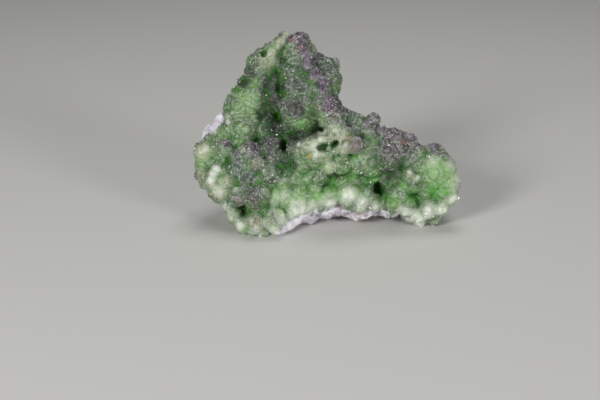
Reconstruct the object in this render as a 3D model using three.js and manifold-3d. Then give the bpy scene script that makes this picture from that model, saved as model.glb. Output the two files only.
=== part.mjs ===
// A smithsonite specimen: a green botryoidal crust grown over a broken slab of pale matrix rock.
// It stands on its own lower edge, on a few small worn flats, with its display face leaning back.
// Millimetres, +Z up, the floor at Z = 0, the display face towards -Y.
import * as THREE from "three";
import { ImprovedNoise } from "three/addons/math/ImprovedNoise.js";
import { MarchingCubes } from "three/addons/objects/MarchingCubes.js";
import { SimplifyModifier } from "three/addons/modifiers/SimplifyModifier.js";
import { mergeVertices } from "three/addons/utils/BufferGeometryUtils.js";
import Module from "manifold-3d";

const wasm = await Module();
wasm.setup();

// Driving dimensions. The specimen is about 85 wide, 44 deep and 60 high.
const FACE_LEAN = THREE.MathUtils.degToRad(20); // how far the display face leans back from upright
const FACE_ORIGIN = new THREE.Vector3(-0.2, -18, 0); // where the face's own axes meet the floor
const LOBE_MELT = 0.32; // how softly neighbouring lobes flow together
const LOBE_ROUGHNESS = 0.3; // height of the lobes' own unevenness
const LOBE_GRAIN = 2.6; // size of that unevenness
const ROCK_MELT = 0.7; // how softly the matrix's chunks flow together
const ROCK_ROUGHNESS = 3.0; // height of the matrix's broken relief
const ROCK_GRAIN = 8.5; // size of its crags
const SMALL_ROCK_GRAIN = 3.9; // size of the smaller crags on them
const CREST = 0.05; // how far the crests stand out of the chunks, as a share of the relief
const GROWTH_GAP = 0.8; // how far the crust's inner face is grown off the matrix, before both are thinned
const LEAST_GAP = 0.3; // how far it stands off the corners of the thinned matrix
const FLOOR_TRIM = 40; // thickness of the block that wears the feet flat
const FLOOR_SPAN = 200; // width and depth of that block
const GRID_CENTRE = new THREE.Vector3(0, 0, 30); // middle of the cube that the solids grow in
const GRID_SPAN = 96; // side of that cube
const GRID_CELLS = 128; // cells along its side
const GRID_ROOM = 160000; // triangles that a grown surface may have before it is thinned
const SWELL_REACH = 6; // how many melts beyond its own surface a lump still swells the grid
const NO_SWELLING = 1e-9; // what the grid holds where no lump reaches
const CRUST_FACETS = 6150; // triangles that the grown crust is thinned to before it is cut
const ROCK_FACETS = 1800; // triangles that the matrix is thinned to
const ROOM_FACETS = 1800; // triangles of the room that the crust leaves for it

const crustMaterial = new THREE.MeshStandardMaterial({ color: 0x86a878, roughness: 0.35, metalness: 0 });
const matrixMaterial = new THREE.MeshStandardMaterial({ color: 0xb9b4bf, roughness: 0.9, metalness: 0 });
const noise = new ImprovedNoise();

// A place on the display face: across to the right, up the leaning face, and out towards the viewer.
function onFace(across, up, out) {
  return new THREE.Vector3(
    FACE_ORIGIN.x + across,
    FACE_ORIGIN.y + up * Math.sin(FACE_LEAN) - out * Math.cos(FACE_LEAN),
    FACE_ORIGIN.z + up * Math.cos(FACE_LEAN) + out * Math.sin(FACE_LEAN),
  );
}

// A closed geometry as a solid that can be joined and cut.
function solid(geometry) {
  const bare = geometry.clone();
  bare.deleteAttribute("normal");
  bare.deleteAttribute("uv");
  const merged = mergeVertices(bare, 1e-4);
  return new wasm.Manifold(
    new wasm.Mesh({
      numProp: 3,
      vertProperties: merged.attributes.position.array,
      triVerts: new Uint32Array(merged.index.array),
    }),
  );
}

// A solid back as a geometry for its mesh.
function geometryOf(body) {
  const mesh = body.getMesh();
  const geometry = new THREE.BufferGeometry();
  geometry.setAttribute("position", new THREE.BufferAttribute(mesh.vertProperties, 3));
  geometry.setIndex(new THREE.BufferAttribute(mesh.triVerts, 1));
  geometry.computeVertexNormals();
  return geometry;
}

// Keeps the one connected body, without the crumbs that a join or a cut leaves.
function largest(body) {
  return body.decompose().sort((a, b) => b.volume() - a.volume())[0];
}

// The same solid with fewer, larger facets.
async function thinned(body, facets) {
  const geometry = geometryOf(body);
  geometry.deleteAttribute("normal");
  const points = geometry.attributes.position.count;
  const spare = Math.round(points * (1 - facets / body.numTri()));
  return largest(solid(await new SimplifyModifier().modify(geometry, spare)));
}

// The same solid with its corners moved outwards.
function swollen(body, distance) {
  const geometry = geometryOf(body);
  const { position, normal } = geometry.attributes;
  const corner = new THREE.Vector3();
  const outwards = new THREE.Vector3();
  for (let i = 0; i < position.count; i++) {
    outwards.fromBufferAttribute(normal, i);
    corner.fromBufferAttribute(position, i).addScaledVector(outwards, distance);
    position.setXYZ(i, corner.x, corner.y, corner.z);
  }
  return solid(geometry);
}

// Visits the grid's cells within reach of a place, with each cell's own place and number.
function nearCells(centre, reach, visit) {
  const cell = GRID_SPAN / GRID_CELLS;
  const corner = GRID_CENTRE.clone().subScalar(GRID_SPAN / 2);
  const last = GRID_CELLS - 1;
  const middle = centre.clone().sub(corner).divideScalar(cell);
  const low = middle.clone().subScalar(reach / cell).ceil().clampScalar(0, last);
  const high = middle.clone().addScalar(reach / cell).floor().clampScalar(0, last);
  const place = new THREE.Vector3();
  for (let z = low.z; z <= high.z; z++) {
    for (let y = low.y; y <= high.y; y++) {
      for (let x = low.x; x <= high.x; x++) {
        place.set(x, y, z).multiplyScalar(cell).add(corner);
        visit(place, x + GRID_CELLS * (y + GRID_CELLS * z));
      }
    }
  }
}

// One body from many lumps: each swells the grid around it by its depth, so near lumps flow together.
// The relief then raises or lowers the surface, and the pits are left open.
function grown(lumps, melt, relief, pits = []) {
  const grid = new MarchingCubes(GRID_CELLS, new THREE.Material(), false, false, GRID_ROOM);
  const swelling = new Float64Array(GRID_CELLS ** 3).fill(NO_SWELLING);
  for (const { centre, reach, depth } of lumps) {
    nearCells(centre, reach + SWELL_REACH * melt, (place, i) => {
      swelling[i] += Math.exp(depth(place) / melt);
    });
  }
  nearCells(GRID_CENTRE, GRID_SPAN / 2, (place, i) => {
    grid.field[i] = melt * Math.log(swelling[i]) + relief(place);
  });
  for (const { centre, reach, depth } of pits) {
    nearCells(centre, reach + 1, (place, i) => {
      grid.field[i] = Math.min(grid.field[i], -depth(place));
    });
  }
  grid.isolation = 0;
  grid.update();
  const geometry = new THREE.BufferGeometry();
  const corners = grid.positionArray.slice(0, grid.count * 3);
  geometry.setAttribute("position", new THREE.BufferAttribute(corners, 3));
  geometry.scale(GRID_SPAN / 2, GRID_SPAN / 2, GRID_SPAN / 2);
  geometry.translate(GRID_CENTRE.x, GRID_CENTRE.y, GRID_CENTRE.z);
  return largest(solid(geometry));
}

// A rounded lobe is a ball, and its own relief makes it uneven.
function lobe([across, up, out, radius]) {
  const centre = onFace(across, up, out);
  return { centre, reach: radius, depth: (place) => radius - place.distanceTo(centre) };
}

function lobeRelief(place) {
  const at = place.clone().divideScalar(LOBE_GRAIN);
  return LOBE_ROUGHNESS * noise.noise(at.x, at.y, at.z);
}

// An egg-shaped lump, squarer as its power rises. 2 is a true egg, 5 is near a rounded block.
function egg(place, halves, turn, power) {
  const centre = onFace(...place);
  const fromEgg = new THREE.Matrix4()
    .makeTranslation(centre.x, centre.y, centre.z)
    .multiply(new THREE.Matrix4().makeRotationX(Math.PI / 2 - FACE_LEAN))
    .multiply(new THREE.Matrix4().makeRotationZ(turn))
    .multiply(new THREE.Matrix4().makeScale(...halves));
  const toEgg = fromEgg.invert();
  const at = new THREE.Vector3();
  const depth = (spot) => {
    at.copy(spot).applyMatrix4(toEgg);
    const far = Math.abs(at.x) ** power + Math.abs(at.y) ** power + Math.abs(at.z) ** power;
    return (1 - far ** (1 / power)) * Math.min(...halves);
  };
  return { centre, reach: Math.max(...halves), depth };
}

// Each lobe is [across, up, out, radius] of its ball on the display face.
const TOWER_TIP = [
  [-13.2, 62.9, -4, 2.5],
  [-15.6, 61.0, -5, 2.3],
  [-17.8, 59.2, -5.5, 2.5],
  [-20.6, 57.4, -6, 2.6],
  [-23.0, 55.8, -7, 2.3],
  [-21.0, 53.8, -6.5, 3.6],
  [-17.5, 56.5, -7, 3.2],
  [-15.0, 58.5, -7.5, 2.8],
  [-23.8, 52.6, -7.5, 2.4],
];
const TOWER_LEFT_SLOPE = [
  [-22.6, 48.8, -6.5, 4.6],
  [-25.8, 48.6, -8, 3.0],
  [-28.6, 46.0, -8, 2.3],
  [-24.8, 43.8, -6.2, 6.0],
  [-27.2, 39.6, -6.4, 6.2],
  [-26.6, 34.4, -4.2, 4.8],
  [-30.2, 38.4, -3.6, 2.6],
  [-31.4, 34.0, -3.6, 2.6],
  [-27.2, 30.6, -4.4, 3.2],
];
const TOWER_VALLEY = [
  [-18.4, 51.2, -7.4, 3.2],
  [-18.2, 47.2, -6.8, 3.2],
  [-16.4, 43.2, -5.2, 2.6],
  [-19.2, 42.2, -7.2, 3.2],
  [-19.6, 37.6, -7.0, 3.0],
  [-17.0, 34.4, -6.6, 2.9],
  [-20.6, 33.4, -6.0, 2.8],
  [-14.6, 47.6, -8.0, 3.4],
  [-14.2, 52.8, -8.4, 3.2],
  [-13.4, 35.2, -8.6, 3.0],
  [-11.8, 52.0, -5.6, 2.7],
];
const TOWER_RIGHT_RIDGE = [
  [-11.2, 60.6, -1.0, 2.0],
  [-10.6, 58.2, -0.9, 2.4],
  [-9.8, 55.8, -1.2, 2.5],
  [-10.2, 52.4, -1.8, 2.9],
  [-9.0, 47.2, -3.2, 4.9],
  [-9.9, 40.4, -1.8, 4.9],
  [-6.8, 42.2, 0.2, 1.9],
  [-8.2, 36.2, -2.2, 3.5],
  [-4.4, 46.4, -2.8, 3.6],
];
const TOWER_CREST = [
  [-9.3, 61.6, -0.4, 1.6],
  [-8.0, 59.2, -0.4, 1.6],
  [-6.9, 56.6, -0.3, 1.7],
  [-5.5, 54.0, -0.2, 1.9],
  [-3.9, 51.6, -0.2, 1.9],
  [-1.8, 48.2, 0.0, 1.9],
  [-0.7, 45.6, -0.2, 2.1],
];
const TOWER_BACK_LOBES = [
  [-8.3, 62.2, -5.6, 3.0],
  [-6.8, 59.2, -5.6, 2.7],
  [-3.6, 55.0, -7.6, 4.1],
  [0.4, 53.8, -9.0, 3.7],
  [2.2, 55.2, -8.6, 2.3],
  [-0.8, 51.0, -6.8, 4.4],
  [2.1, 50.2, -8.2, 3.1],
  [1.6, 47.8, -7.8, 3.2],
  [2.4, 42.1, -5.2, 2.2],
  [0.6, 44.2, -4.4, 2.6],
];
const BRIDGE_TO_CAVITY = [
  [-2.2, 41.2, 0.8, 2.4],
  [0.6, 41.4, -0.2, 2.8],
  [0.8, 38.6, 1.8, 3.1],
  [-3.6, 38.6, 0.2, 2.2],
  [-0.4, 36.2, 1.6, 2.3],
  [2.0, 35.8, 2.8, 2.9],
  [4.6, 38.2, -1.6, 3.1],
  [3.9, 34.2, 3.2, 2.6],
  [5.8, 32.2, 3.8, 2.3],
];
const CAVITY_SHELF = [
  [-9.0, 27.8, 1.0, 3.5],
  [-5.6, 27.6, 2.4, 3.5],
  [-1.8, 28.8, 2.9, 4.0],
  [2.4, 29.4, 3.2, 3.9],
  [1.2, 32.0, 3.2, 2.4],
  [5.4, 28.2, 3.4, 3.0],
  [8.5, 28.7, 4.4, 2.7],
  [-1.0, 25.6, 3.6, 2.8],
  [-4.0, 24.2, 2.2, 2.6],
  [0.2, 22.4, 0.8, 3.0],
  [4.4, 22.9, 0.4, 3.3],
  [-7.6, 23.6, -1.2, 3.7],
];
const HOLLOW_LOBES = [
  [-3.4, 33.6, -6.2, 2.9],
  [-8.2, 31.8, -6.8, 3.2],
  [-11.4, 30.2, -8.0, 3.2],
];
const MIDDLE_LEFT = [
  [-17.2, 27.8, -3.4, 3.7],
  [-17.3, 24.2, -1.6, 2.3],
  [-13.4, 23.8, -3.8, 3.5],
  [-12.4, 20.4, -3.4, 3.0],
  [-24.2, 26.8, -1.0, 3.2],
  [-27.8, 25.2, -1.4, 2.6],
  [-22.1, 22.9, 1.4, 2.75],
  [-27.0, 21.6, -1.8, 3.7],
  [-24.8, 18.6, -1.4, 3.8],
  [-18.1, 19.3, -1.2, 3.7],
  [-13.8, 17.6, -1.8, 2.7],
  [-10.0, 18.0, -1.6, 2.5],
  [-6.8, 17.2, -2.2, 2.3],
  [-3.4, 18.8, -1.8, 3.0],
];
const LEFT_END = [
  [-39.0, 26.8, -4.4, 3.5],
  [-33.2, 27.8, -3.4, 3.8],
  [-36.4, 30.0, -5.8, 3.0],
  [-33.0, 32.4, -5.0, 2.8],
  [-39.6, 22.8, -6.0, 2.8],
  [-39.6, 19.6, -6.4, 2.7],
  [-38.8, 16.8, -6.0, 2.0],
  [-36.4, 23.2, -4.8, 2.5],
  [-34.9, 21.4, -2.6, 2.0],
  [-36.0, 19.4, -2.7, 2.1],
  [-36.9, 17.4, -3.0, 2.1],
  [-36.0, 15.0, -3.2, 2.4],
  [-33.8, 13.4, -3.0, 2.5],
  [-31.2, 17.0, -2.2, 3.0],
  [-32.4, 20.2, -3.4, 2.6],
];
const PURPLE_GROUP = [
  [-28.2, 12.2, 1.0, 3.0],
  [-22.4, 11.8, 2.2, 3.6],
  [-20.0, 13.7, 2.8, 2.1],
  [-25.4, 14.2, 0.8, 2.4],
  [-30.6, 13.6, -1.6, 2.4],
];
const LEFT_FOOT = [
  [-22.8, 4.2, 2.4, 3.1],
  [-16.7, 5.0, 1.2, 3.8],
  [-26.2, 3.8, 0.6, 2.5],
  [-28.8, 6.4, -1.8, 2.4],
  [-30.6, 8.8, -2.8, 2.3],
  [-31.8, 11.2, -3.2, 2.3],
  [-20.2, 2.2, -0.4, 2.8],
  [-14.6, 3.0, -1.6, 2.7],
  [-12.0, 3.9, -3.2, 2.4],
  [-9.8, 5.6, -3.4, 2.4],
  [-25.2, 2.4, -2.6, 2.9],
  [-21.8, 7.8, -0.6, 3.0],
];
const BOTTOM_LIP = [
  [-17.0, 12.2, -2.4, 4.2],
  [-13.2, 12.4, -3.4, 4.8],
  [-8.8, 12.8, -3.6, 4.6],
  [-4.4, 12.6, -3.8, 4.4],
  [0.6, 12.4, -4.4, 3.8],
  [-11.4, 7.6, -2.8, 3.4],
  [-7.4, 8.8, -3.4, 3.0],
  [-3.2, 9.8, -4.0, 2.5],
  [-1.3, 12.3, -1.0, 1.6],
  [1.8, 11.2, -1.9, 1.7],
  [-4.2, 11.6, -0.8, 1.5],
  [-10.6, 11.2, -0.2, 1.5],
  [7.0, 13.4, -3.4, 4.2],
  [5.0, 16.8, -3.4, 2.4],
  [11.2, 12.6, -4.4, 3.7],
  [14.0, 12.8, -4.6, 3.4],
  [11.0, 9.8, -4.8, 2.2],
  [7.4, 10.0, -4.8, 2.0],
  [15.6, 9.6, -5.6, 2.1],
  [8.4, 16.8, -4.4, 3.0],
];
const ARM_MIDDLE = [
  [12.2, 25.0, -1.6, 5.2],
  [18.8, 25.2, -1.8, 5.2],
  [14.4, 21.8, -2.2, 3.2],
  [8.6, 22.2, -3.6, 3.4],
  [21.2, 19.0, -4.8, 3.4],
  [15.4, 19.4, -6.2, 2.8],
  [18.6, 17.6, -6.2, 2.8],
  [19.4, 14.4, -7.2, 3.2],
  [18.0, 11.0, -6.4, 3.0],
  [1.4, 16.8, -5.4, 3.0],
  [10.8, 18.6, -6.4, 3.0],
];
const ARM_CREST = [
  [7.4, 36.8, -3.8, 3.1],
  [10.2, 35.6, -4.4, 3.0],
  [14.5, 36.3, -5.2, 2.4],
  [12.8, 33.2, -3.6, 3.2],
  [8.2, 33.6, -3.0, 2.5],
  [17.2, 31.8, -3.6, 3.1],
  [21.0, 30.1, -3.2, 4.0],
  [25.4, 29.0, -3.6, 3.9],
  [28.4, 27.0, -3.8, 2.8],
  [23.0, 27.4, -2.0, 3.6],
  [32.2, 26.4, -5.2, 2.7],
  [34.6, 27.0, -5.6, 2.75],
  [36.6, 25.4, -5.2, 2.4],
];
const ARM_END = [
  [35.4, 21.0, -4.4, 6.1],
  [38.1, 17.6, -4.8, 4.8],
  [37.6, 13.2, -4.6, 4.5],
  [32.4, 17.8, -4.2, 5.0],
  [29.4, 21.6, -4.0, 4.5],
  [27.4, 24.0, -4.0, 4.0],
  [34.0, 19.8, 0.2, 2.0],
  [27.4, 17.6, -2.6, 4.0],
  [25.9, 18.9, 0.6, 2.3],
  [28.2, 17.4, 0.6, 2.1],
  [24.4, 15.4, -2.0, 2.8],
  [22.4, 12.8, -2.6, 3.1],
  [21.5, 9.6, -1.9, 3.1],
  [25.4, 9.4, -3.8, 3.1],
  [31.6, 12.4, -6.6, 3.6],
  [33.0, 8.6, -4.8, 3.4],
  [36.4, 9.4, -5.0, 3.0],
  [39.2, 12.0, -5.4, 2.7],
  [29.4, 7.4, -6.4, 3.2],
  [34.4, 6.4, -7.8, 2.2],
];
const RIGHT_FOOT = [
  [30.2, 5.3, -9.0, 2.7],
  [27.0, 7.2, -8.6, 2.8],
];
const REAR_LEFT = [
  [-36.4, 20.6, -9.0, 4.2],
  [-34.0, 15.0, -11.0, 4.6],
  [-29.4, 12.4, -14.0, 4.4],
  [-36.6, 26.2, -9.4, 4.0],
  [-29.0, 9.4, -19.0, 3.6],
];
// The continuous layer that the lobes stand on.
const CRUST_BED = [
  [-20.5, 50.0, -12.4, 6.6],
  [-12.0, 56.0, -10.6, 6.6],
  [-3.0, 51.0, -12.8, 6.8],
  [-12.0, 46.0, -12.8, 8.0],
  [-25.0, 40.0, -13.0, 8.2],
  [-13.0, 36.0, -15.6, 8.4],
  [-2.0, 40.0, -12.8, 7.6],
  [-28.0, 30.0, -13.0, 9.2],
  [-16.0, 26.0, -14.6, 9.4],
  [-30.0, 20.0, -11.4, 9.2],
  [-22.0, 14.0, -10.8, 10.2],
  [-10.0, 15.0, -12.6, 9.4],
  [-4.0, 28.0, -13.0, 10.4],
  [5.0, 30.0, -11.4, 9.0],
  [12.0, 29.0, -12.4, 8.8],
  [4.0, 20.0, -13.4, 9.8],
  [15.0, 22.0, -15.8, 8.6],
  [22.0, 26.0, -12.8, 7.4],
  [26.0, 17.0, -12.8, 9.2],
  [33.0, 20.0, -11.4, 8.0],
  [34.0, 14.0, -10.0, 7.0],
  [8.0, 15.6, -12.6, 7.0],
  [-20.0, 6.6, -6.4, 6.4],
];

// Each pit is an egg pressed into the face: its middle, its half sizes and its turn.
const PITS = [
  { name: "cavity mouth", place: [0.2, 28.0, 6.2], radii: [3.3, 1.45, 4.2], turn: 0.14 },
  { name: "pit at the tower's corner", place: [-20.0, 58.1, -3.4], radii: [1.1, 0.9, 1.6], turn: 0.3 },
  { name: "gap beside the shelf", place: [-13.5, 29.0, -2.6], radii: [1.4, 2.6, 4.6], turn: -0.25 },
  { name: "gap in the valley", place: [-15.6, 38.3, -4.4], radii: [1.2, 1.5, 3.0], turn: -0.5 },
  { name: "hollow under the arm", place: [16.8, 14.9, -4.8], radii: [1.7, 2.3, 3.6], turn: 0.3 },
];

// Each chunk of matrix is [across, up, out, half width, half height, half thickness].
const MATRIX_CHUNKS = [
  [-12.4, 48.4, -16.2, 10.8, 12.0, 6.8],
  [-18.6, 33.4, -18.2, 14.4, 12.6, 7.6],
  [-4.4, 38.0, -16.4, 8.6, 10.0, 6.6],
  [-20.4, 19.6, -16.0, 15.0, 11.4, 8.8],
  [-2.0, 22.0, -17.0, 16.0, 13.0, 8.6],
  [-3.0, 15.8, -15.0, 14.6, 8.6, 8.8],
  [13.0, 19.6, -17.6, 13.8, 12.4, 7.4],
  [27.0, 18.0, -16.4, 12.6, 9.0, 6.0],
];
const MATRIX_EDGES = [
  [-31.6, 34.6, -10.6, 4.9, 5.6, 3.8],
  [-35.4, 31.8, -10.2, 4.6, 4.4, 3.6],
  [-36.8, 19.4, -10.4, 4.4, 5.0, 3.2],
  [3.0, 9.2, -9.0, 10.6, 3.4, 4.2],
  [13.8, 8.5, -9.0, 7.4, 3.2, 4.0],
  [-9.2, 5.8, -7.0, 6.4, 2.7, 4.0],
];

function chunk([across, up, out, ...halves]) {
  return egg([across, up, out], halves, 0, 4);
}

// Crags: sharp crests with hollows between, large ones with smaller ones on them.
function rockRelief(place) {
  const crag = (grain) => CREST - Math.abs(noise.noise(place.x / grain, place.y / grain, place.z / grain));
  return ROCK_ROUGHNESS * (crag(ROCK_GRAIN) + 0.5 * crag(SMALL_ROCK_GRAIN));
}

function floorBlock() {
  const geometry = new THREE.BoxGeometry(FLOOR_SPAN, FLOOR_SPAN, FLOOR_TRIM);
  geometry.translate(0, 0, -FLOOR_TRIM / 2);
  return solid(geometry);
}

const floor = floorBlock();
const chunks = [...MATRIX_CHUNKS, ...MATRIX_EDGES].map(chunk);
const matrixWhole = await thinned(grown(chunks, ROCK_MELT, rockRelief), ROCK_FACETS);
const roomRelief = (place) => rockRelief(place) + GROWTH_GAP;
const matrixRoom = await thinned(grown(chunks, ROCK_MELT, roomRelief), ROOM_FACETS);
const matrixBody = matrixWhole.subtract(floor);

const lobes = [
  TOWER_TIP, TOWER_LEFT_SLOPE, TOWER_VALLEY, TOWER_RIGHT_RIDGE, TOWER_CREST, TOWER_BACK_LOBES,
  BRIDGE_TO_CAVITY, CAVITY_SHELF, HOLLOW_LOBES, MIDDLE_LEFT, LEFT_END, PURPLE_GROUP, LEFT_FOOT,
  BOTTOM_LIP, ARM_MIDDLE, ARM_CREST, ARM_END, RIGHT_FOOT, REAR_LEFT, CRUST_BED,
].flat();
const pits = PITS.map(({ place, radii, turn }) => egg(place, radii, turn, 2));
const crustWhole = await thinned(grown(lobes.map(lobe), LOBE_MELT, lobeRelief, pits), CRUST_FACETS);
const crustBody = crustWhole
  .subtract(matrixRoom)
  .subtract(swollen(matrixWhole, LEAST_GAP))
  .subtract(floor);

function meshOf(name, body, material) {
  const mesh = new THREE.Mesh(geometryOf(largest(body)), material);
  mesh.name = name;
  return mesh;
}

const specimen = new THREE.Group();
specimen.add(meshOf("smithsonite_crust", crustBody, crustMaterial));
specimen.add(meshOf("matrix_rock", matrixBody, matrixMaterial));

export default specimen;
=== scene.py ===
import math

import bpy
import numpy as np
from mathutils import Matrix, Vector, noise


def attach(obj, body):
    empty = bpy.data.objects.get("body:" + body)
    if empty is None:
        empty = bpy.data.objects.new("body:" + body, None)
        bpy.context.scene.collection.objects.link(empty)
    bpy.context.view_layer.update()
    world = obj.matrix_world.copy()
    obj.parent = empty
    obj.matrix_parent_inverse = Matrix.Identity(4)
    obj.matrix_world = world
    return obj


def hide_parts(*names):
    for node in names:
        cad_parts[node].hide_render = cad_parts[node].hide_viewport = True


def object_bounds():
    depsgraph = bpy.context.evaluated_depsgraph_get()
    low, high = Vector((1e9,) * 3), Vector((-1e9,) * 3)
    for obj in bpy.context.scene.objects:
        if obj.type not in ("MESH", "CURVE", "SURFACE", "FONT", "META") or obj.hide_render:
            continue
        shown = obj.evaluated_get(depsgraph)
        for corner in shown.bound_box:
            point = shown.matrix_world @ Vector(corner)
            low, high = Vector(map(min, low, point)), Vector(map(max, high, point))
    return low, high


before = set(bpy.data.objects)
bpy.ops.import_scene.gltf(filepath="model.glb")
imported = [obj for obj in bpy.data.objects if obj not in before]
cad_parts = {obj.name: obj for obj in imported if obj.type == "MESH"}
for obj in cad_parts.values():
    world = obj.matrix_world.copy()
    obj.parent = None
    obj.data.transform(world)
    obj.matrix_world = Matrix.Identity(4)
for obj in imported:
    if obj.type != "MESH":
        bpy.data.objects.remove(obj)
cad_low, cad_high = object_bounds()

# The view.
# The specimen stands on its lower edge, and its display face leans back by 20 degrees. The camera looks
# straight at that face from arm's length, so places on the specimen are given on the face itself.
MM = 0.001
FACE_LEAN = math.radians(20)
FACE_FOOT = Vector((-0.2, -18.0, 0.0)) * MM
CAMERA_PLACE = (-8.4, 11.4, 426.0)
LENS = 80.8
SENSOR_WIDTH = 36


def on_face(across, up, out):
    """A place in the frame, from millimetres across the display face, up it and out of it."""
    lean = Matrix.Rotation(-FACE_LEAN, 3, "X")
    return FACE_FOOT + lean @ Vector((across, -out, up)) * MM


camera = bpy.data.objects.new("camera", bpy.data.cameras.new("camera"))
bpy.context.collection.objects.link(camera)
bpy.context.scene.camera = camera
camera.data.lens = LENS
camera.data.sensor_width = SENSOR_WIDTH
camera.location = on_face(*CAMERA_PLACE)
camera.rotation_euler = (math.pi / 2 - FACE_LEAN, 0, 0)

# The smithsonite crust, its form.
# Zinc carbonate that grew on the rock in layers, each a little proud of the last, so it is all rounded
# lobes of 3 to 12 mm that melt into each other. It grew as one piece, and it has no joints.
MERGE_WITHIN = 0.01 * MM
FIRST_GRAIN = 0.5 * MM
CRUST_GRAIN = 0.45 * MM
BED_SINK = 0.35 * MM
rng = np.random.default_rng(7)


def only(*pieces):
    """Selects these pieces and nothing else."""
    bpy.ops.object.select_all(action="DESELECT")
    for piece in pieces:
        piece.select_set(True)
        bpy.context.view_layer.objects.active = piece


def worked(piece, kind, **settings):
    """Works a piece with one modifier, and applies it."""
    modifier = piece.modifiers.new(kind.lower(), kind)
    for name, value in settings.items():
        setattr(modifier, name, value)
    only(piece)
    bpy.ops.object.modifier_apply(modifier=modifier.name)
    return piece


def from_solid(node, name):
    """A new piece that starts as a merged copy of a solid of the frame."""
    piece = bpy.data.objects.new(name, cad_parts[node].data.copy())
    bpy.context.collection.objects.link(piece)
    piece.data.materials.clear()
    only(piece)
    bpy.ops.object.mode_set(mode="EDIT")
    bpy.ops.mesh.select_all(action="SELECT")
    bpy.ops.mesh.remove_doubles(threshold=MERGE_WITHIN)
    bpy.ops.object.mode_set(mode="OBJECT")
    return piece


def relief(name, kind, grain, **settings):
    """A texture that raises and lowers a surface, with its grain in metres."""
    texture = bpy.data.textures.new(name, kind)
    texture.noise_scale = grain
    for key, value in settings.items():
        setattr(texture, key, value)
    return texture


crust = from_solid("smithsonite_crust", "crust")
worked(crust, "REMESH", mode="VOXEL", voxel_size=FIRST_GRAIN)
worked(crust, "SMOOTH", factor=0.5, iterations=8)
worked(crust, "DISPLACE", strength=-BED_SINK, mid_level=0)

# Each lobe is (across, up, out, radius) on the display face, as in the solids. The last three of the shelf
# are only here.
TOWER = [
    (-13.2, 62.9, -4, 2.5), (-15.6, 61.0, -5, 2.3), (-17.8, 59.2, -5.5, 2.5), (-20.6, 57.4, -6, 2.6),
    (-23.0, 55.8, -7, 2.3), (-21.0, 53.8, -6.5, 3.6), (-17.5, 56.5, -7, 3.2), (-15.0, 58.5, -7.5, 2.8),
    (-23.8, 52.6, -7.5, 2.4), (-22.6, 48.8, -6.5, 4.6), (-25.8, 48.6, -8, 3.0), (-28.6, 46.0, -8, 2.3),
    (-24.8, 43.8, -6.2, 6.0), (-27.2, 39.6, -6.4, 6.2), (-26.6, 34.4, -4.2, 4.8), (-30.2, 38.4, -3.6, 2.6),
    (-31.4, 34.0, -3.6, 2.6), (-27.2, 30.6, -4.4, 3.2), (-18.4, 51.2, -7.4, 3.2), (-18.2, 47.2, -6.8, 3.2),
    (-16.4, 43.2, -5.2, 2.6), (-19.2, 42.2, -7.2, 3.2), (-19.6, 37.6, -7.0, 3.0), (-17.0, 34.4, -6.6, 2.9),
    (-20.6, 33.4, -6.0, 2.8), (-14.6, 47.6, -8.0, 3.4), (-14.2, 52.8, -8.4, 3.2), (-13.4, 35.2, -8.6, 3.0),
    (-11.8, 52.0, -5.6, 2.7), (-11.2, 60.6, -1.0, 2.0), (-10.6, 58.2, -0.9, 2.4), (-9.8, 55.8, -1.2, 2.5),
    (-10.2, 52.4, -1.8, 2.9), (-9.0, 47.2, -3.2, 4.9), (-9.9, 40.4, -1.8, 4.9), (-6.8, 42.2, 0.2, 1.9),
    (-8.2, 36.2, -2.2, 3.5), (-4.4, 46.4, -2.8, 3.6), (-9.3, 61.6, -0.4, 1.6), (-8.0, 59.2, -0.4, 1.6),
    (-6.9, 56.6, -0.3, 1.7), (-5.5, 54.0, -0.2, 1.9), (-3.9, 51.6, -0.2, 1.9), (-1.8, 48.2, 0.0, 1.9),
    (-0.7, 45.6, -0.2, 2.1), (-8.3, 62.2, -5.6, 3.0), (-6.8, 59.2, -5.6, 2.7), (-3.6, 55.0, -7.6, 4.1),
    (0.4, 53.8, -9.0, 3.7), (2.2, 55.2, -8.6, 2.3), (-0.8, 51.0, -6.8, 4.4), (2.1, 50.2, -8.2, 3.1),
    (1.6, 47.8, -7.8, 3.2), (2.4, 42.1, -5.2, 2.2), (0.6, 44.2, -4.4, 2.6),
]
SHELF = [
    (-2.2, 41.2, 0.8, 2.4), (0.6, 41.4, -0.2, 2.8), (0.8, 38.6, 1.8, 3.1), (-3.6, 38.6, 0.2, 2.2),
    (-0.4, 36.2, 1.6, 2.3), (2.0, 35.8, 2.8, 2.9), (4.6, 38.2, -1.6, 3.1), (3.9, 34.2, 3.2, 2.6),
    (5.8, 32.2, 3.8, 2.3), (-9.0, 27.8, 1.0, 3.5), (-5.6, 27.6, 2.4, 3.5), (-1.8, 28.8, 2.9, 4.0),
    (2.4, 29.4, 3.2, 3.9), (1.2, 32.0, 3.2, 2.4), (5.4, 28.2, 3.4, 3.0), (8.5, 28.7, 4.4, 2.7),
    (-1.0, 25.6, 3.6, 2.8), (-4.0, 24.2, 2.2, 2.6), (0.2, 22.4, 0.8, 3.0), (4.4, 22.9, 0.4, 3.3),
    (-7.6, 23.6, -1.2, 3.7), (-3.4, 33.6, -6.2, 2.9), (-8.2, 31.8, -6.8, 3.2), (-11.4, 30.2, -8.0, 3.2),
    (-4.6, 34.8, -3.6, 3.0), (-7.4, 32.6, -4.4, 2.6), (-7.0, 52.2, -2.6, 2.2),
]
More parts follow.
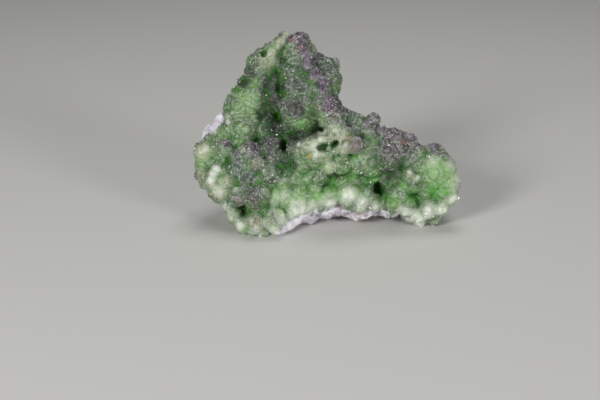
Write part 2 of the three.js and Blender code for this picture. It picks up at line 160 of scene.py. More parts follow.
LEFT_SIDE = [
    (-17.2, 27.8, -3.4, 3.7), (-17.3, 24.2, -1.6, 2.3), (-13.4, 23.8, -3.8, 3.5), (-12.4, 20.4, -3.4, 3.0),
    (-24.2, 26.8, -1.0, 3.2), (-27.8, 25.2, -1.4, 2.6), (-22.1, 22.9, 1.4, 2.75), (-27.0, 21.6, -1.8, 3.7),
    (-24.8, 18.6, -1.4, 3.8), (-18.1, 19.3, -1.2, 3.7), (-13.8, 17.6, -1.8, 2.7), (-10.0, 18.0, -1.6, 2.5),
    (-6.8, 17.2, -2.2, 2.3), (-3.4, 18.8, -1.8, 3.0), (-39.0, 26.8, -4.4, 3.5), (-33.2, 27.8, -3.4, 3.8),
    (-36.4, 30.0, -5.8, 3.0), (-33.0, 32.4, -5.0, 2.8), (-39.6, 22.8, -6.0, 2.8), (-39.6, 19.6, -6.4, 2.7),
    (-38.8, 16.8, -6.0, 2.0), (-36.4, 23.2, -4.8, 2.5), (-34.9, 21.4, -2.6, 2.0), (-36.0, 19.4, -2.7, 2.1),
    (-36.9, 17.4, -3.0, 2.1), (-36.0, 15.0, -3.2, 2.4), (-33.8, 13.4, -3.0, 2.5), (-31.2, 17.0, -2.2, 3.0),
    (-32.4, 20.2, -3.4, 2.6), (-28.2, 12.2, 1.0, 3.0), (-22.4, 11.8, 2.2, 3.6), (-20.0, 13.7, 2.8, 2.1),
    (-25.4, 14.2, 0.8, 2.4), (-30.6, 13.6, -1.6, 2.4),
]
LOWER_EDGE = [
    (-22.8, 4.2, 2.4, 3.1), (-16.7, 5.0, 1.2, 3.8), (-26.2, 3.8, 0.6, 2.5), (-28.8, 6.4, -1.8, 2.4),
    (-30.6, 8.8, -2.8, 2.3), (-31.8, 11.2, -3.2, 2.3), (-20.2, 2.2, -0.4, 2.8), (-14.6, 3.0, -1.6, 2.7),
    (-12.0, 3.9, -3.2, 2.4), (-9.8, 5.6, -3.4, 2.4), (-25.2, 2.4, -2.6, 2.9), (-21.8, 7.8, -0.6, 3.0),
    (-17.0, 12.2, -2.4, 4.2), (-13.2, 12.4, -3.4, 4.8), (-8.8, 12.8, -3.6, 4.6), (-4.4, 12.6, -3.8, 4.4),
    (0.6, 12.4, -4.4, 3.8), (-11.4, 7.6, -2.8, 3.4), (-7.4, 8.8, -3.4, 3.0), (-3.2, 9.8, -4.0, 2.5),
    (-1.3, 12.3, -1.0, 1.6), (1.8, 11.2, -1.9, 1.7), (-4.2, 11.6, -0.8, 1.5), (-10.6, 11.2, -0.2, 1.5),
    (7.0, 13.4, -3.4, 4.2), (5.0, 16.8, -3.4, 2.4), (11.2, 12.6, -4.4, 3.7), (14.0, 12.8, -4.6, 3.4),
    (11.0, 9.8, -4.8, 2.2), (7.4, 10.0, -4.8, 2.0), (15.6, 9.6, -5.6, 2.1), (8.4, 16.8, -4.4, 3.0),
]
ARM = [
    (12.2, 25.0, -1.6, 5.2), (18.8, 25.2, -1.8, 5.2), (14.4, 21.8, -2.2, 3.2), (8.6, 22.2, -3.6, 3.4),
    (21.2, 19.0, -4.8, 3.4), (15.4, 19.4, -6.2, 2.8), (18.6, 17.6, -6.2, 2.8), (19.4, 14.4, -7.2, 3.2),
    (18.0, 11.0, -6.4, 3.0), (1.4, 16.8, -5.4, 3.0), (10.8, 18.6, -6.4, 3.0), (7.4, 36.8, -3.8, 3.1),
    (10.2, 35.6, -4.4, 3.0), (14.5, 36.3, -5.2, 2.4), (12.8, 33.2, -3.6, 3.2), (8.2, 33.6, -3.0, 2.5),
    (17.2, 31.8, -3.6, 3.1), (21.0, 30.1, -3.2, 4.0), (25.4, 29.0, -3.6, 3.9), (28.4, 27.0, -3.8, 2.8),
    (23.0, 27.4, -2.0, 3.6), (32.2, 26.4, -5.2, 2.7), (34.6, 27.0, -5.6, 2.75), (36.6, 25.4, -5.2, 2.4),
    (35.4, 21.0, -4.4, 6.1), (38.1, 17.6, -4.8, 4.8), (37.6, 13.2, -4.6, 4.5), (32.4, 17.8, -4.2, 5.0),
    (29.4, 21.6, -4.0, 4.5), (27.4, 24.0, -4.0, 4.0), (34.0, 19.8, 0.2, 2.0), (27.4, 17.6, -2.6, 4.0),
    (25.9, 18.9, 0.6, 2.3), (28.2, 17.4, 0.6, 2.1), (24.4, 15.4, -2.0, 2.8), (22.4, 12.8, -2.6, 3.1),
    (21.5, 9.6, -1.9, 3.1), (25.4, 9.4, -3.8, 3.1), (31.6, 12.4, -6.6, 3.6), (33.0, 8.6, -4.8, 3.4),
    (36.4, 9.4, -5.0, 3.0), (39.2, 12.0, -5.4, 2.7), (29.4, 7.4, -6.4, 3.2), (34.4, 6.4, -7.8, 2.2),
    (30.2, 5.3, -9.0, 2.7), (27.0, 7.2, -8.6, 2.8),
]
REAR = [
    (-36.4, 20.6, -9.0, 4.2), (-34.0, 15.0, -11.0, 4.6), (-29.4, 12.4, -14.0, 4.4), (-36.6, 26.2, -9.4, 4.0),
    (-29.0, 9.4, -19.0, 3.6),
]
LOBE_UNEVENNESS = 0.05

only()
bpy.ops.mesh.primitive_ico_sphere_add(subdivisions=4, radius=1)
ball = bpy.context.object
lobe_places = np.array(TOWER + SHELF + LEFT_SIDE + LOWER_EDGE + ARM + REAR)
lobes = []
for across, up, out, radius in lobe_places.tolist():
    lobe = bpy.data.objects.new("lobe", ball.data.copy())
    lobe.location = on_face(across, up, out)
    lobe.rotation_euler = rng.uniform(0, math.tau, 3)
    lobe.scale = radius * MM * rng.uniform(1 - LOBE_UNEVENNESS, 1 + LOBE_UNEVENNESS, 3)
    bpy.context.collection.objects.link(lobe)
    lobes.append(lobe)
bpy.data.objects.remove(ball)
only(*lobes, crust)
bpy.ops.object.join()
worked(crust, "REMESH", mode="VOXEL", voxel_size=CRUST_GRAIN)

# These rows turn a vector of the frame into one across, up and out of the display face.
TO_FACE = np.array([
    [1, 0, 0],
    [0, math.sin(FACE_LEAN), math.cos(FACE_LEAN)],
    [0, -math.cos(FACE_LEAN), math.sin(FACE_LEAN)],
])


def face_places(piece):
    """Each vertex of a piece in millimetres across, up and out of the display face, and its normal."""
    mesh = piece.data
    count = len(mesh.vertices)
    co = np.empty(count * 3)
    mesh.vertices.foreach_get("co", co)
    normal = np.empty(count * 3)
    mesh.vertex_normals.foreach_get("vector", normal)
    places = (co.reshape(-1, 3) - np.array(FACE_FOOT)) @ TO_FACE.T / MM
    return places, normal.reshape(-1, 3) @ TO_FACE.T


def put_back(piece, places):
    """Moves a piece's vertices to places that are given on the display face."""
    co = places * MM @ TO_FACE + np.array(FACE_FOOT)
    piece.data.vertices.foreach_set("co", co.ravel())
    piece.data.update()


def dabbed(places, dabs, edge=0.6):
    """How strongly dabs of (across, up, reach, share) mark each place, from 0 to 1."""
    mark = np.zeros(len(places))
    for across, up, reach, share in dabs:
        away = np.hypot(places[:, 0] - across, places[:, 1] - up) / reach
        soft = np.clip((1 - away) / edge, 0, 1)
        mark = np.maximum(mark, share * soft * soft * (3 - 2 * soft))
    return mark


def turned(normals, tilt):
    """A random turn about each normal, leaned over at random by a tilt, as the columns of a matrix."""
    upright = normals + tilt * rng.normal(0, 0.5, normals.shape)
    upright /= np.linalg.norm(upright, axis=1, keepdims=True)
    aside = np.cross(upright, rng.normal(0, 1, normals.shape))
    aside /= np.linalg.norm(aside, axis=1, keepdims=True)
    return np.stack([aside, np.cross(upright, aside), upright], axis=2)


def strewn(name, shape, places, turns, sizes):
    """A piece of many copies of a shape, each at its own place on the display face, turned and sized."""
    corners = np.array([vertex.co for vertex in shape.data.vertices])
    faces = np.array([polygon.vertices for polygon in shape.data.polygons])
    spread = np.einsum("nij,mj->nmi", turns, corners) * sizes[:, None, None] + places[:, None]
    counted = faces[None] + np.arange(len(places))[:, None, None] * len(corners)
    mesh = bpy.data.meshes.new(name)
    mesh.from_pydata(spread.reshape(-1, 3).tolist(), [], counted.reshape(-1, 3).tolist())
    piece = bpy.data.objects.new(name, mesh)
    bpy.context.collection.objects.link(piece)
    put_back(piece, spread.reshape(-1, 3))
    return piece


# Smaller lobes crowd between the large ones and over the back, as low domes of 3 to 5 mm.
CROWDED = [
    (-17, 48, 6, 1), (-17, 38, 6, 1), (-12, 20, 9, 1), (-3, 16, 8, 1), (8, 16, 7, 1), (-12, 10, 6, 1),
    (0, 11, 6, 1), (12, 11, 7, 1), (14, 34, 7, 1), (22, 30, 6, 1), (-4, 53, 6, 1), (0, 47, 5, 1),
    (4, 38, 5, 1), (19, 17, 5, 1), (-36, 17, 5, 1), (-30, 22, 5, 1),
]
DOME_SPACING = 2.8
DOME_SIZES = (1.4, 2.4)
DOME_SINK = 1.2
DOME_TRIES = 9000
DOMES_ANYWHERE = 0.05
DOMES_IN_CROWDS = 0.25
DOMES_AT_BACK = 0.5
RIM_FACING = 0.1
RIM_WIDTH = 0.45
RIM_BARENESS = 0.85

# Few domes stand on the rim that the outline shows, where the surface looks neither forward nor back.
places, normals = face_places(crust)
at_back = np.clip(RIM_FACING - normals[:, 2], 0, 1)
at_rim = np.clip(1 - np.abs(normals[:, 2] - RIM_FACING) / RIM_WIDTH, 0, 1)
crowded = DOMES_ANYWHERE + DOMES_IN_CROWDS * dabbed(places, CROWDED) + DOMES_AT_BACK * at_back
crowded *= 1 - RIM_BARENESS * at_rim
domes = np.empty((0, 3))
for index in rng.integers(0, len(places), DOME_TRIES):
    middle = places[index] - DOME_SINK * normals[index]
    apart = len(domes) == 0 or np.linalg.norm(domes - middle, axis=1).min() > DOME_SPACING
    if apart and rng.random() < crowded[index]:
        domes = np.vstack([domes, middle])
dome_sizes = rng.uniform(*DOME_SIZES, len(domes))
only()
bpy.ops.mesh.primitive_ico_sphere_add(subdivisions=3, radius=1)
ball = bpy.context.object
dome_turns = turned(np.tile((0.0, 0.0, 1.0), (len(domes), 1)), tilt=1)
dome_piece = strewn("domes", ball, domes, dome_turns, dome_sizes)
bpy.data.objects.remove(ball)
only(dome_piece, crust)
bpy.ops.object.join()
worked(crust, "REMESH", mode="VOXEL", voxel_size=CRUST_GRAIN)

# Each pit is its place (across, up, out), its half sizes and its turn in degrees. It opens out of the face.
PITS = [
    ((-0.5, 27.8, 6.6), (3.1, 1.35, 4.6), 6),
    ((2.5, 28.9, 6.6), (1.5, 1.0, 4.2), 35),
    ((-20.0, 58.1, -3.2), (1.3, 1.2, 2.6), 17),
    ((-13.5, 29.0, -2.6), (1.1, 2.4, 3.6), -14),
    ((-15.6, 38.3, -4.2), (1.3, 1.6, 3.4), -29),
    ((16.8, 14.9, -4.4), (1.9, 2.4, 4.2), 17),
    ((-9.4, 27.5, 4.6), (0.6, 0.5, 2.0), 0),
    ((-7.7, 26.0, 4.6), (0.5, 0.4, 1.4), 30),
    ((2.3, 31.8, 6.4), (0.5, 0.9, 2.0), 0),
    ((-0.6, 31.3, 6.2), (0.9, 0.4, 1.7), 0),
    ((5.2, 29.6, 6.2), (0.5, 0.8, 1.7), 20),
]
PIT_RAGGEDNESS = 0.4
PIT_RAG_SIZE = 0.9


def within(pit, places):
    """How far each place is from a pit's axis, squared, with 1 at the rim, and how far out of its middle."""
    (across, up, out), (half_across, half_up, half_out), turn = pit
    turn = math.radians(turn)
    rag = np.array([noise.noise_vector(Vector((x, y, 0)) / PIT_RAG_SIZE) for x, y in places[:, :2]])
    rag *= PIT_RAGGEDNESS
    right, over = places[:, 0] + rag[:, 0] - across, places[:, 1] + rag[:, 1] - up
    share = ((right * math.cos(turn) + over * math.sin(turn)) / half_across) ** 2
    share += ((over * math.cos(turn) - right * math.sin(turn)) / half_up) ** 2
    return share, (places[:, 2] - out) / half_out


places, normals = face_places(crust)
for pit in PITS:
    share, height = within(pit, places)
    bottom = -np.sqrt(np.clip(1 - share, 0, 1))
    pressed = (share < 1) & (height > bottom)
    places[pressed, 2] = pit[0][2] + pit[1][2] * bottom[pressed]
put_back(crust, places)

# A pale ball the size of a pinhead grew inside the cavity.
PINHEAD = (0.7, 27.3, 3.6)
PINHEAD_RADIUS = 0.85
only()
pinhead_place = on_face(*PINHEAD)
bpy.ops.mesh.primitive_ico_sphere_add(subdivisions=3, radius=PINHEAD_RADIUS * MM, location=pinhead_place)
only(bpy.context.object, crust)
bpy.ops.object.join()
worked(crust, "REMESH", mode="VOXEL", voxel_size=CRUST_GRAIN)

# The lobes are uneven, and round the cavity the crust has broken into ragged flakes.
RAGGED = [
    (-7.5, 27.5, 3.2, 0.5), (-5.0, 28.6, 2.8, 1), (0.0, 31.6, 2.8, 0.8), (5.0, 30.2, 2.8, 0.7),
    (-5.0, 25.2, 2.2, 0.8), (3.4, 25.4, 2.0, 0.6), (-36.0, 18.0, 3.6, 0.4), (27.0, 19.0, 2.6, 0.6),
]
PIT_RIM = 1.15
PIT_FADE = 0.3
PIT_SHADE_TOP = -0.25
PIT_SHADE_FLOOR = -1.3
PINHEAD_MARGIN = 0.15
places, normals = face_places(crust)
# Below each pit's rim the colour is darkened as painted shade; the same mark thins the flakes and the tips.
pitted = np.zeros(len(places))
for pit in PITS:
    share, height = within(pit, places)
    inside = np.clip((PIT_RIM - share) / PIT_FADE, 0, 1)
    deep = np.clip((PIT_SHADE_TOP - height) / PIT_FADE, 0, 1) * (height > PIT_SHADE_FLOOR)
    pitted = np.maximum(pitted, inside * deep)
pitted[np.linalg.norm(places - np.array(PINHEAD), axis=1) < PINHEAD_RADIUS + PINHEAD_MARGIN] = 0
ragged = crust.vertex_groups.new(name="ragged")
for index, weight in enumerate(dabbed(places, RAGGED) * (1 - pitted)):
    if weight > 0:
        ragged.add([index], float(weight), "REPLACE")
uneven = relief("uneven", "CLOUDS", 2.6 * MM)
sugary = relief("sugary", "CLOUDS", 0.8 * MM)
flakes = relief("flakes", "STUCCI", 1.1 * MM, turbulence=4)
worked(crust, "DISPLACE", texture=uneven, strength=0.22 * MM, mid_level=0.5)
worked(crust, "DISPLACE", texture=sugary, strength=0.10 * MM, mid_level=0.5)
worked(crust, "DISPLACE", texture=flakes, strength=1.2 * MM, mid_level=0.6, vertex_group="ragged")


def inside_box(piece):
    """Wears off what stands out of the solids' box, so that the feet are flat on the floor."""
    co = np.empty(len(piece.data.vertices) * 3)
    piece.data.vertices.foreach_get("co", co)
    co = np.clip(co.reshape(-1, 3), np.array(cad_low), np.array(cad_high))
    piece.data.vertices.foreach_set("co", co.ravel())
    piece.data.update()


inside_box(crust)
only(crust)
bpy.ops.object.shade_smooth()

# The crust, its colour.
# Translucent green zinc carbonate, waxy like candied fruit. Light goes in and comes out again, and the
# colour paints that in: the thin lips are whitened by a painted glow, the seams, crevices and valleys
# between the lobes are a clear deep green of painted shade, and each lobe has a pale rim that is partly
# its own pale skin and partly a painted sheen.
places, normals = face_places(crust)
edges = np.empty(len(crust.data.edges) * 2, np.int64)
crust.data.edges.foreach_get("vertices", edges)
edges = edges.reshape(-1, 2)
near = np.concatenate([edges, edges[:, ::-1]])
neighbours = np.bincount(near[:, 0], minlength=len(places))


def evened(values, rounds):
    """Values of the crust's vertices, evened out with their neighbours' again and again."""
    for _ in range(rounds):
        values = np.stack([
            np.bincount(near[:, 0], weights=column[near[:, 1]], minlength=len(places))
            for column in values.T
        ], axis=1) / neighbours[:, None]
    return values


SMALL_ROUNDS = 14
LARGE_ROUNDS = 150
small_form = evened(places, SMALL_ROUNDS)
large_form = evened(small_form, LARGE_ROUNDS)
crevice = np.einsum("ij,ij->i", small_form - places, normals)
valley = np.einsum("ij,ij->i", large_form - places, normals)

# Each place belongs to the lobe that it lies nearest to, and the next lobe tells how far off the seam is.
balls = np.vstack([lobe_places, np.column_stack([domes, dome_sizes])])
SEAM_BATCH = 4000
LOBE_REACH = 0.9
LOBE_FADE = 0.4
seam = np.empty(len(places))
own = np.empty(len(places), np.int64)
astray = np.empty(len(places))
for start in range(0, len(places), SEAM_BATCH):
    part = places[start : start + SEAM_BATCH]
    square = (part**2).sum(1)[:, None] + (balls[:, :3] ** 2).sum(1) - 2 * part @ balls[:, :3].T
    away = np.sqrt(np.maximum(square, 0)) - balls[:, 3]
    own[start : start + SEAM_BATCH] = away.argmin(1)
    least = np.partition(away, 1, axis=1)
    seam[start : start + SEAM_BATCH] = least[:, 1] - least[:, 0]
    astray[start : start + SEAM_BATCH] = least[:, 0]
on_lobe = np.clip((LOBE_REACH - astray) / LOBE_FADE, 0, 1)

# A wobble keeps the edges of the dabs from being round.
WOBBLE_SIZE = 3.0
FINE_WOBBLE = 0.3
wobble = np.array([noise.noise_vector(Vector(place) / WOBBLE_SIZE) for place in places])
painted = places + wobble
finely_painted = places + FINE_WOBBLE * wobble

# Dabs of (across, up, reach, share) on the display face.
PURPLE_DRUSE = [
    (-11.0, 62.6, 2.2, 0.8), (-7.4, 59.0, 3.4, 1), (-5.2, 54.6, 3.8, 1), (-3.6, 51.4, 3.0, 1),
    (-1.4, 47.8, 3.4, 1), (-0.5, 44.5, 2.8, 0.8), (1.0, 41.5, 4.4, 0.8), (2.2, 37.6, 3.8, 0.6),
    (9.0, 28.6, 2.8, 1), (-7.6, 60.4, 2.6, 1), (14.6, 36.6, 3.6, 0.7), (16.8, 33.2, 4.4, 0.7),
    (20.5, 30.6, 6.4, 0.8), (25.5, 29.2, 6.0, 0.8), (21.0, 26.6, 5.6, 0.7), (20.2, 19.7, 4.0, 0.5),
    (34.7, 28.3, 3.4, 0.7), (-22.5, 12.4, 5.4, 0.6), (-27.6, 11.8, 3.6, 0.7), (-23.9, 26.9, 3.6, 0.7),
    (-27.9, 25.2, 3.0, 0.7), (-31.0, 29.4, 2.2, 0.8), (-17.9, 28.1, 3.8, 0.5), (-16.2, 24.4, 3.2, 0.5),
    (-21.8, 22.3, 3.2, 0.5), (-8.2, 63.0, 3.6, 0.7), (-9.9, 40.2, 4.0, 0.4), (-16.6, 43.4, 2.4, 0.7),
    (-16.2, 6.8, 2.0, 0.6), (-22.0, 5.4, 1.8, 0.5),
]
GREY_FROST = [
    (-17.9, 47.4, 4.5, 1), (-16.2, 43.1, 4.0, 1), (-19.5, 38.5, 4.5, 1), (-16.0, 33.5, 5.0, 1),
    (-9.0, 47.0, 6.0, 1), (-9.9, 40.2, 5.5, 1), (0.5, 53.5, 6.0, 1), (-3.0, 56.0, 5.0, 1),
    (7.5, 36.8, 4.5, 1), (10.5, 35.0, 4.5, 1), (-28.7, 21.8, 4.5, 1), (-24.7, 17.8, 4.5, 1),
    (-18.1, 18.9, 4.0, 0.8), (-39.9, 19.5, 3.4, 0.5), (-16.2, 5.8, 3.0, 0.4), (12.0, 32.4, 4.0, 0.6),
    (27.0, 22.4, 4.6, 0.5), (-13.0, 22.0, 5.0, 0.8), (-33.0, 28.0, 4.0, 0.6), (-11.0, 54.0, 4.5, 0.8),
    (-24.0, 53.0, 3.5, 0.7), (4.0, 42.0, 4.0, 0.9), (-6.0, 44.0, 4.0, 0.8), (16.0, 26.0, 5.0, 0.5),
    (24.0, 25.0, 4.0, 0.7), (-20.0, 28.0, 6.0, 0.8), (-12.0, 30.0, 5.0, 1), (-10.6, 57.0, 3.0, 0.6),
]
PALE_WORN = [
    (-12.7, 64.5, 2.2, 1), (-14.7, 61.4, 2.6, 0.9), (-17.0, 58.2, 2.8, 0.9), (-19.3, 55.4, 3.2, 0.65),
    (-17.6, 53.2, 2.6, 0.6), (-8.8, 28.2, 3.0, 0.5), (-4.5, 28.6, 3.6, 0.9), (-0.5, 31.4, 3.6, 0.8),
    (3.6, 31.2, 3.4, 0.9), (5.2, 27.4, 2.8, 0.9), (-3.0, 25.8, 2.8, 0.9), (0.6, 22.6, 3.4, 0.7),
    (1.8, 33.8, 2.2, 0.7), (-36.6, 16.8, 3.2, 0.9), (-21.8, 22.4, 3.0, 0.35), (-27.3, 11.1, 2.2, 0.4),
    (-34.2, 14.4, 3.8, 1), (-31.4, 17.6, 2.6, 0.6), (-39.3, 26.7, 3.6, 0.9), (-22.4, 4.6, 3.6, 0.7),
    (-16.2, 5.6, 4.0, 0.3), (-39.6, 19.4, 2.6, 0.6), (9.0, 28.8, 2.8, 0.4), (25.9, 19.8, 1.7, 0.9),
    (28.2, 18.2, 1.8, 0.8), (9.2, 25.2, 2.0, 0.3),
]
WHITE_LOBE = [
    (-35.0, 21.2, 2.1, 1), (-35.8, 19.6, 2.1, 1), (-36.6, 17.8, 2.0, 0.9), (-34.2, 14.4, 2.8, 0.5),
    (-38.6, 27.6, 1.6, 0.6), (-3.9, 27.9, 2.0, 0.9), (-2.0, 30.4, 1.2, 0.9), (-3.6, 25.6, 1.2, 0.9),
    (-8.8, 28.8, 1.0, 0.7), (2.6, 32.8, 1.2, 0.6), (6.0, 29.0, 1.2, 0.5), (26.0, 20.2, 0.9, 1),
    (28.8, 18.4, 0.9, 0.8), (0.7, 27.5, 1.0, 0.6),
]
# The thin lips: pale edges of the crust, whitened further by a painted glow of light through them.
WHITE_LIP_GLOW = [
    (-22.0, 1.4, 3.4, 0.6), (-17.0, 1.8, 3.4, 0.65), (-27.4, 3.2, 3.0, 0.8), (-12.4, 5.4, 4.4, 0.9),
    (-9.3, 9.0, 4.6, 1), (-4.8, 9.2, 3.6, 0.8), (0.0, 10.8, 4.0, 0.9), (6.9, 12.6, 4.8, 0.85),
    (11.4, 9.8, 4.2, 0.9), (16.0, 9.4, 3.0, 0.7), (-16.4, 9.4, 3.6, 0.4), (-13.4, 12.0, 4.6, 0.35),
    (24.6, 7.2, 3.4, 1), (27.6, 6.0, 3.8, 1), (32.1, 7.6, 4.0, 1), (30.3, 4.4, 3.4, 1), (36.8, 8.4, 3.8, 1),
    (40.6, 11.8, 3.2, 1), (42.2, 18.4, 3.4, 0.6), (40.6, 15.0, 3.0, 0.5), (39.4, 22.6, 3.6, 0.5),
    (33.6, 23.6, 3.0, 0.4), (1.2, 10.0, 3.4, 1), (30.6, 5.6, 3.6, 1), (-32.2, 9.4, 2.4, 0.7),
    (-30.4, 6.4, 2.4, 0.7), (42.0, 21.0, 2.0, 0.4),
]
ROCK_EDGE = [
    (-14.6, 0.4, 1.7, 1), (-12.8, 1.8, 1.7, 1), (-11.0, 3.0, 1.7, 1), (-9.2, 4.2, 1.8, 1),
    (-7.4, 5.2, 1.7, 1), (-5.4, 6.2, 1.5, 0.9), (-3.2, 7.0, 1.4, 0.8), (16.6, 7.0, 1.6, 0.7),
    (19.2, 6.4, 1.6, 0.8), (22.0, 5.8, 1.4, 0.5), (-36.4, 34.0, 2.2, 0.6), (-31.4, 36.0, 1.0, 0.4),
]
# Brighter yellow-green: partly the crust's own green, partly a painted glow of light through it.
LIVELY_GREEN_GLOW = [
    (-25.9, 41.7, 9.0, 0.6), (-27.0, 33.8, 6.6, 0.45), (-23.6, 47.4, 4.6, 0.7), (33.5, 21.0, 8.0, 0.8),
    (39.0, 20.0, 5.0, 1), (38.0, 16.0, 5.0, 0.8), (14.2, 29.8, 3.8, 1), (14.8, 24.6, 4.4, 0.5),
    (-15.0, 13.4, 4.6, 1), (-9.0, 12.4, 5.0, 0.9), (-3.0, 12.8, 4.4, 0.9), (4.0, 14.0, 5.0, 0.9),
    (22.0, 10.6, 4.0, 0.9), (10.0, 13.0, 4.0, 0.8), (6.0, 19.1, 3.6, 0.8), (0.6, 21.6, 3.2, 0.8),
    (-13.0, 8.4, 4.6, 1), (-39.0, 24.0, 3.4, 0.6), (-33.6, 31.4, 3.4, 0.5), (-26.0, 1.6, 3.0, 0.8),
    (36.0, 17.4, 5.0, 1), (34.6, 22.6, 4.4, 1),
]
DEEP_SHADE = [
    (-17.0, 51.4, 4.0, 1), (-14.8, 47.0, 4.4, 1), (-18.6, 44.0, 3.4, 0.6), (-20.4, 38.5, 3.4, 1),
    (-15.8, 37.6, 3.8, 1), (-10.5, 31.0, 5.4, 1), (-13.6, 29.0, 3.2, 1), (-3.6, 33.4, 3.8, 1),
    (17.0, 14.9, 3.6, 1), (19.8, 19.0, 4.4, 0.9), (-17.5, 34.0, 4.4, 1), (-19.6, 30.4, 3.0, 0.7),
    (6.8, 40.0, 3.0, 0.5), (-26.7, 49.7, 1.6, 0.8), (-28.3, 46.2, 1.6, 0.8), (-31.0, 24.2, 2.2, 0.9),
    (4.0, 49.6, 3.0, 0.4), (-26.0, 7.4, 2.4, 0.7), (-12.8, 22.6, 5.0, 0.9), (1.2, 16.8, 2.4, 0.5),
    (-14.8, 55.8, 2.4, 0.6), (15.4, 24.6, 4.6, 0.55), (-17.3, 27.4, 3.8, 0.5), (-4.4, 38.8, 3.2, 0.7),
    (-26.4, 48.8, 3.8, 1), (-18.8, 42.4, 3.8, 0.8), (-17.4, 35.6, 4.4, 1), (-18.2, 46.6, 4.4, 0.8),
    (-16.4, 42.6, 3.6, 0.6), (-23.6, 51.0, 3.0, 0.6), (-9.9, 40.4, 5.6, 0.6), (-9.0, 47.2, 5.0, 0.4),
    (-9.6, 53.6, 4.4, 0.25), (-13.6, 23.0, 5.0, 0.6), (-20.4, 49.8, 3.6, 0.4), (-24.8, 53.0, 2.6, 0.5),
    (-28.6, 21.4, 4.6, 0.25), (0.2, 54.0, 4.6, 0.2), (-24.6, 17.8, 4.0, 0.35), (26.0, 22.6, 3.0, 0.35),
    (3.2, 42.6, 3.2, 0.35), (-6.2, 48.6, 3.6, 0.4), (-11.6, 26.4, 3.0, 0.6),
]
# Clear deep green in the crevices: partly the thick crust's own colour, partly painted shade.
VIVID_GREEN_SHADE = [
    (1.2, 16.6, 3.2, 0.8), (27.6, 12.6, 3.6, 1), (34.0, 13.8, 3.6, 1), (-25.3, 8.6, 1.8, 0.7),
    (8.0, 18.8, 3.2, 0.4), (15.0, 18.6, 3.0, 0.9), (-21.3, 17.6, 1.5, 0.9), (8.6, 24.4, 2.0, 0.8),
    (24.5, 16.0, 2.0, 0.8), (38.0, 14.4, 2.6, 0.8), (-26.7, 49.7, 1.5, 0.6), (-28.3, 46.2, 1.5, 0.6),
    (-30.9, 24.2, 1.6, 0.6), (-5.8, 39.6, 1.8, 0.5), (-7.6, 35.4, 2.2, 0.6), (-16.0, 38.4, 1.8, 0.6),
    (19.0, 12.0, 2.6, 0.7), (-19.6, 10.2, 1.6, 0.6),
]
VIOLET = [
    (-14.5, 63.7, 0.9, 0.9), (-11.2, 63.2, 1.0, 0.8), (-7.4, 58.6, 1.6, 0.7), (-5.4, 54.2, 1.5, 0.6),
    (-1.3, 48.0, 2.1, 1), (-20.6, 57.6, 0.9, 0.8), (-19.2, 59.2, 0.9, 0.7), (-22.6, 58.2, 0.9, 0.7),
    (7.6, 28.4, 0.9, 0.4), (9.6, 27.2, 1.2, 0.3), (-9.2, 60.8, 1.8, 0.5), (-6.2, 56.4, 1.8, 0.5),
    (-3.6, 51.2, 2.0, 0.5), (-0.6, 45.4, 2.2, 0.35), (-12.4, 61.4, 0.9, 0.6), (-8.8, 60.8, 0.9, 0.6),
    (24.6, 30.4, 1.4, 0.4), (15.2, 35.4, 1.2, 0.4), (-8.6, 27.4, 0.8, 0.7),
]
IRON_SPECKS = [
    (-22.3, 4.2, 2.2, 1), (-16.4, 5.4, 2.0, 1), (21.6, 9.2, 1.8, 0.8), (-29.7, 38.1, 1.5, 0.9),
    (-9.9, 40.4, 2.6, 0.7), (9.0, 28.0, 2.4, 1), (-22.4, 12.2, 1.6, 0.7), (-27.8, 11.4, 2.0, 0.8),
    (-16.8, 43.0, 1.6, 0.7), (-35.0, 13.6, 2.0, 0.5), (24.6, 29.0, 2.4, 0.6), (-39.6, 19.0, 2.0, 0.6),
    (-6.0, 10.4, 1.6, 0.4), (13.0, 9.4, 1.8, 0.5),
]
RUSTY = [
    (-11.1, 62.5, 0.7, 0.7), (-10.7, 61.9, 0.7, 0.8), (-10.3, 61.2, 0.6, 0.7), (-8.9, 59.3, 0.9, 0.6),
    (24.0, 29.8, 1.2, 0.4), (36.6, 26.4, 0.7, 0.5), (-3.5, 40.6, 0.6, 0.4), (6.4, 30.4, 2.2, 0.2),
]
YELLOW_FLECK = [(-5.5, 25.0, 0.8, 0.8), (-5.0, 25.4, 0.6, 0.8)]


def keep(piece, name, values):
    """Keeps one number for each vertex of a piece, under a name that its material reads."""
    kept = piece.data.attributes.new(name, "FLOAT", "POINT")
    kept.data.foreach_set("value", np.clip(values, 0, 1).astype(np.float32))


CREVICE_DEPTH = 0.4
VALLEY_DEPTH = 2.6
SEAM_WIDTH = 0.3
# Where each lobe's pale rim lies off the seam, and how broad: partly pale skin, partly painted sheen.
SHEEN_RIM_OFF_SEAM = 0.6
SHEEN_RIM_BREADTH = 0.4
CREST_LEVEL = 22

